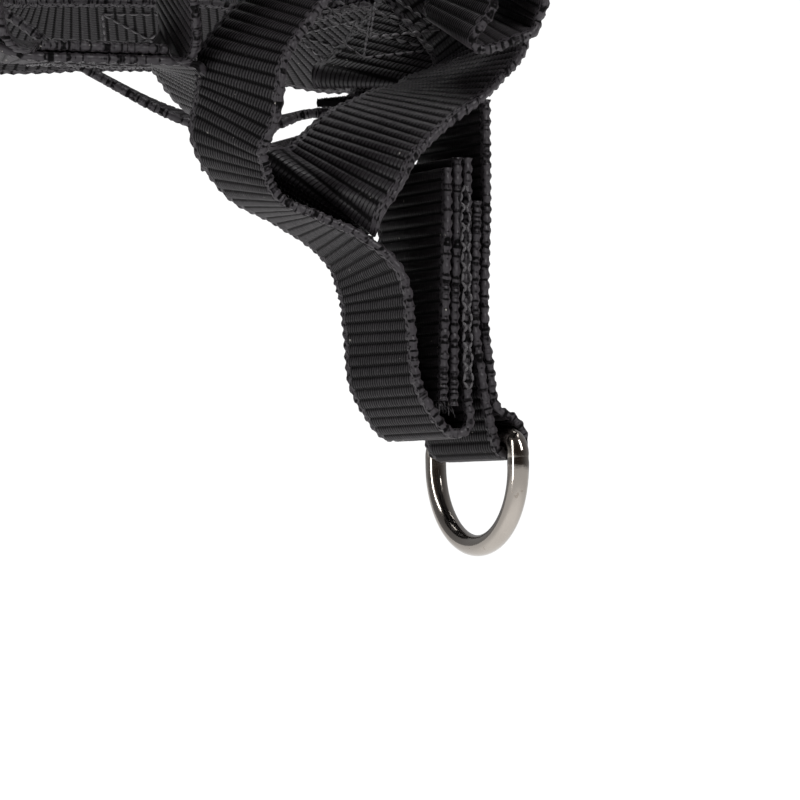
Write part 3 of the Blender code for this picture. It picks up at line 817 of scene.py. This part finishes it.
# The tail's chain of loops, in millimetres as tail_point takes them
CHAIN_ACROSS = -9.2
CHAIN_OUT = 12.75
CHAIN_LOW = 9
CHAIN_HIGH = 44
CHAIN_PITCH = 3.7
CHAIN_WIDTH = 0.95
CHAIN_RADIUS = 0.31 * MM

# Loose fibres at a cut end
FRAYS = 90
FRAY_RADIUS = 0.06 * MM


def stitch_mesh(starts, ends, outs, radius=THREAD):
    """One stitch from each start to its end, bowed outwards: points and quads of them all."""
    steps = np.linspace(0, 1, STITCH_STEPS + 1)
    bow = np.sin(math.pi * steps)
    thick = radius * (0.35 + 0.65 * np.sqrt(bow))
    turn = 2 * math.pi * np.arange(STITCH_SIDES) / STITCH_SIDES
    starts, ends, outs = (np.array(v, float) for v in (starts, ends, outs))
    along = unit(ends - starts)
    outs = unit(outs - along * np.sum(outs * along, axis=1, keepdims=True))
    sides = np.cross(along, outs)
    middle = starts[:, None] + (ends - starts)[:, None] * steps[None, :, None]
    middle = middle + outs[:, None] * (bow * radius * 0.9)[None, :, None]
    ring = sides[:, None] * np.cos(turn)[None, :, None] + outs[:, None] * np.sin(turn)[None, :, None]
    points = middle[:, :, None] + ring[:, None] * thick[None, :, None, None]
    one = (STITCH_STEPS + 1) * STITCH_SIDES
    r, c = np.meshgrid(np.arange(STITCH_STEPS), np.arange(STITCH_SIDES), indexing="ij")
    c2 = (c + 1) % STITCH_SIDES
    quads = np.stack([
        r * STITCH_SIDES + c2, r * STITCH_SIDES + c,
        (r + 1) * STITCH_SIDES + c, (r + 1) * STITCH_SIDES + c2,
    ], axis=-1).reshape(-1, 4)
    quads = (quads[None] + np.arange(len(starts))[:, None, None] * one).reshape(-1, 4)
    base = np.arange(len(starts)) * one
    caps = [b + np.arange(STITCH_SIDES) for b in base]
    caps += [b + one - 1 - np.arange(STITCH_SIDES) for b in base]
    return points.reshape(-1, 3), quads, caps


def stitched(name, runs, look, radius=THREAD):
    """Rows of stitches as one piece: each run is a start, an end and the way its face looks."""
    starts, ends, outs = [], [], []
    for start, end, out in runs:
        count = max(1, round((end - start).length / STITCH))
        for k in range(count):
            starts.append(start.lerp(end, (k + 0.10) / count))
            ends.append(start.lerp(end, (k + 0.90) / count))
            outs.append(out)
    points, quads, caps = stitch_mesh(starts, ends, outs, radius)
    mesh_object(name, points, quads, None, look, "net", [], caps)


def seam_runs(seam, top, bottom):
    """A box with a cross in it, on both outer faces of a seam."""
    up = seam.edge.cross(seam.along)
    runs = []
    for side, layers in ((1, top), (-1, bottom)):
        middle = seam.point + up * (side * ((layers - 0.5) * LAYER + CREST - SUNK))
        x, y = seam.along * (SEAM / 2 - BOX_SHORT), seam.edge * (WEB_WIDTH / 2 - BOX_NARROW)
        corners = [middle - x - y, middle + x - y, middle + x + y, middle - x + y]
        runs += [(corners[k], corners[(k + 1) % 4], up * side) for k in range(4)]
        runs += [(corners[0], corners[2], up * side), (corners[1], corners[3], up * side)]
    return runs


def sew_bag(places, look):
    step = COLUMNS // HANGER_STRAPS
    for level in range(BASE_LEVEL + 1):
        runs = []
        for column in range(COLUMNS):
            if (level, column) == (7, 1):
                continue  # the slack turn isn't sewn down
            hanger = level == 0 and column % step == 0
            runs += seam_runs(places[level, column], 2 if hanger else 1, 1)
        stitched(f"bag_stitches_{level}", runs, look)


def sew_stack(look):
    """The stitches over the upper stack's tab."""
    edge, side = facing(HANGER_AZIMUTH), around(HANGER_AZIMUTH)
    low, high = STACK_BASE + 7 * MM, STACK_TOP - 4 * MM
    runs = []
    for way in (1, -1):
        face = side * (way * (2.5 * LAYER + CREST - SUNK))
        corners = [face + edge * x + Vector((0, 0, z)) for x, z in
                   ((-STACK_BOX, low), (STACK_BOX, low), (STACK_BOX, high), (-STACK_BOX, high))]
        runs += [(corners[k], corners[(k + 1) % 4], side * way) for k in range(4)]
        runs += [(corners[0], corners[2], side * way), (corners[1], corners[3], side * way)]
    stitched("stack_stitches", runs, look)


def chain(name, look):
    """Chain loops up the front of the tail, each caught under the next one."""
    starts, ends, outs = [], [], []
    outwards = facing(TAIL_AZIMUTH, TAIL_TILT)
    up = CHAIN_LOW
    while up < CHAIN_HIGH:
        for way in (-1, 1):
            side = way * CHAIN_WIDTH
            shape = ((0, 0), (1, 0.38), (0.75, 0.85), (0, 1.22))
            knots = [(side * x, CHAIN_PITCH * y) for x, y in shape]
            for (a, b), (c, d) in zip(knots, knots[1:]):
                starts.append(tail_point(CHAIN_ACROSS + a, up + b, CHAIN_OUT))
                ends.append(tail_point(CHAIN_ACROSS + c, up + d, CHAIN_OUT + 0.1))
                outs.append(outwards)
        up += CHAIN_PITCH
    points, quads, caps = stitch_mesh(starts, ends, outs, CHAIN_RADIUS)
    mesh_object(name, points, quads, None, look, "net", [], caps)


def frays(name, point, edge, along, look, seed):
    """Loose fibres at a strap's cut end."""
    chance = random.Random(seed)
    starts, ends, outs = [], [], []
    through = edge.cross(along).normalized()
    for _ in range(FRAYS):
        place = point + (edge * chance.uniform(-12, 12) + through * chance.uniform(-0.8, 0.8)) * MM
        lean = Vector([chance.uniform(-0.5, 0.5) for _ in range(3)])
        starts.append(place)
        ends.append(place + (along + lean) * chance.uniform(0.8, 2.2) * MM)
        outs.append([chance.uniform(-1, 1) for _ in range(3)])
    points, quads, caps = stitch_mesh(starts, ends, outs, FRAY_RADIUS)
    mesh_object(name, points, quads, None, look, "net", [], caps)


# ---- Stage ------------------------------------------------------------------------------------------

VIEW_DISTANCE = 0.70
VIEW_WIDTH = 0.151  # what the frame shows across at that distance
SENSOR = 36.0
FLOOR_REACH = 12.0
FLOOR_HEIGHT = -1.3


def camera():
    """Level, along +Y, on the tail: the ring is a little right of the middle."""
    data = bpy.data.cameras.new("camera")
    data.sensor_width = SENSOR
    data.lens = SENSOR * VIEW_DISTANCE / VIEW_WIDTH
    data.clip_start = 0.01
    made = bpy.data.objects.new("camera", data)
    made.location = from_bar(-14.3, 0, 7.5) - Vector((0, VIEW_DISTANCE, 0))
    made.rotation_euler = (math.pi / 2, 0, 0)
    bpy.context.scene.collection.objects.link(made)
    bpy.context.scene.camera = made


def softbox(name, place, target, width, height, power):
    data = bpy.data.lights.new(name, "AREA")
    data.shape = "RECTANGLE"
    data.size, data.size_y, data.energy = width, height, power
    made = bpy.data.objects.new(name, data)
    made.location = place
    made.rotation_euler = (Vector(target) - Vector(place)).to_track_quat("-Z", "Y").to_euler()
    bpy.context.scene.collection.objects.link(made)


def floor():
    mesh = bpy.data.meshes.new("floor")
    far = FLOOR_REACH
    corners = [(x, y, FLOOR_HEIGHT) for x, y in ((-far, -far), (far, -far), (far, far), (-far, far))]
    mesh.from_pydata(corners, [], [(0, 1, 2, 3)])
    n = Nodes("floor")
    n.shader.inputs["Base Color"].default_value = (0.93, 0.93, 0.93, 1)
    n.shader.inputs["Roughness"].default_value = 0.9
    n.shader.inputs["Emission Color"].default_value = (1, 1, 1, 1)
    n.shader.inputs["Emission Strength"].default_value = 0.9
    mesh.materials.append(n.material)
    made = bpy.data.objects.new("floor", mesh)
    bpy.context.scene.collection.objects.link(made)


def world():
    """White to the camera; as light, a bright tent that is darker on the camera's side."""
    made = bpy.data.worlds.new("tent")
    made.use_nodes = True
    tree = made.node_tree
    tree.nodes.clear()
    out = tree.nodes.new("ShaderNodeOutputWorld")
    seen, lit = tree.nodes.new("ShaderNodeBackground"), tree.nodes.new("ShaderNodeBackground")
    seen.inputs[0].default_value = (1, 1, 1, 1)
    seen.inputs[1].default_value = 1.05
    lit.inputs[1].default_value = 1.0
    way = tree.nodes.new("ShaderNodeTexCoord")
    split = tree.nodes.new("ShaderNodeSeparateXYZ")
    ramp = tree.nodes.new("ShaderNodeValToRGB")
    shift = tree.nodes.new("ShaderNodeMapRange")
    shift.inputs["From Min"].default_value = -1
    shift.inputs["From Max"].default_value = 1
    tree.links.new(way.outputs["Generated"], split.inputs[0])
    tree.links.new(split.outputs[1], shift.inputs[0])
    tree.links.new(shift.outputs[0], ramp.inputs[0])
    ramp.color_ramp.elements[0].position = 0.12
    ramp.color_ramp.elements[0].color = (0.045, 0.034, 0.028, 1)
    ramp.color_ramp.elements[1].position = 0.80
    ramp.color_ramp.elements[1].color = (0.36, 0.36, 0.37, 1)
    tree.links.new(ramp.outputs[0], lit.inputs[0])
    path, mix = tree.nodes.new("ShaderNodeLightPath"), tree.nodes.new("ShaderNodeMixShader")
    tree.links.new(path.outputs["Is Camera Ray"], mix.inputs[0])
    tree.links.new(lit.outputs[0], mix.inputs[1])
    tree.links.new(seen.outputs[0], mix.inputs[2])
    tree.links.new(mix.outputs[0], out.inputs[0])
    bpy.context.scene.world = made


def main():
    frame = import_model()
    webbing, plain = webbing_look("webbing_near", True), webbing_look("webbing_far", False)
    thread, nickel, steel = thread_look(), nickel_look(), steel_look()
    places = seam_places()
    for number in range(1, BASE_LEVEL):
        near = number == BASE_LEVEL - 1
        look = webbing if near else plain
        web(f"net_ring_{number}", net_ring(number, places), look, closed=True, fine=near)
    web("base_strap", base_strap(places), webbing, fine=True)
    ties = base_ties(places)
    for node, stations in ties.items():
        web(node, stations, webbing, fine=True)
    web("ring_tab", ring_tab(), webbing, fine=True)
    web("mouth_band", mouth_band(places), plain, closed=True)
    for number, stations in enumerate(hanger_straps(places)):
        web(f"hanger_strap_{number + 1}", stations, plain)
    web("top_tab", top_tab(), plain)
    sew_bag(places, thread)
    sew_stack(thread)
    chain("tail_chain", thread)
    for number in (1, 2):
        end, inner = ties[f"tail_layer_{number}"][:2]
        outwards = (end.point - inner.point).normalized()
        frays(f"cut_end_{number}", end.point, end.edge, outwards, thread, number)
    d_ring(nickel)
    snap_spring(steel)
    for node in ("snap_body", "snap_bolt", "snap_eye"):
        mesh = frame["nodes"][node].data
        mesh.materials.clear()
        mesh.materials.append(nickel)
    floor()
    world()
    camera()
    target = from_bar(-14, 0, 20)
    softbox("key", target + Vector((0.55, -0.55, 0.60)), target, 0.16, 0.7, 9)
    softbox("fill", target + Vector((-0.75, -0.50, 0.25)), target, 0.14, 0.9, 6)
    softbox("top", target + Vector((0.0, 0.15, 0.95)), target, 0.8, 0.5, 7)
    bpy.context.scene.view_settings.view_transform = "Standard"


main()
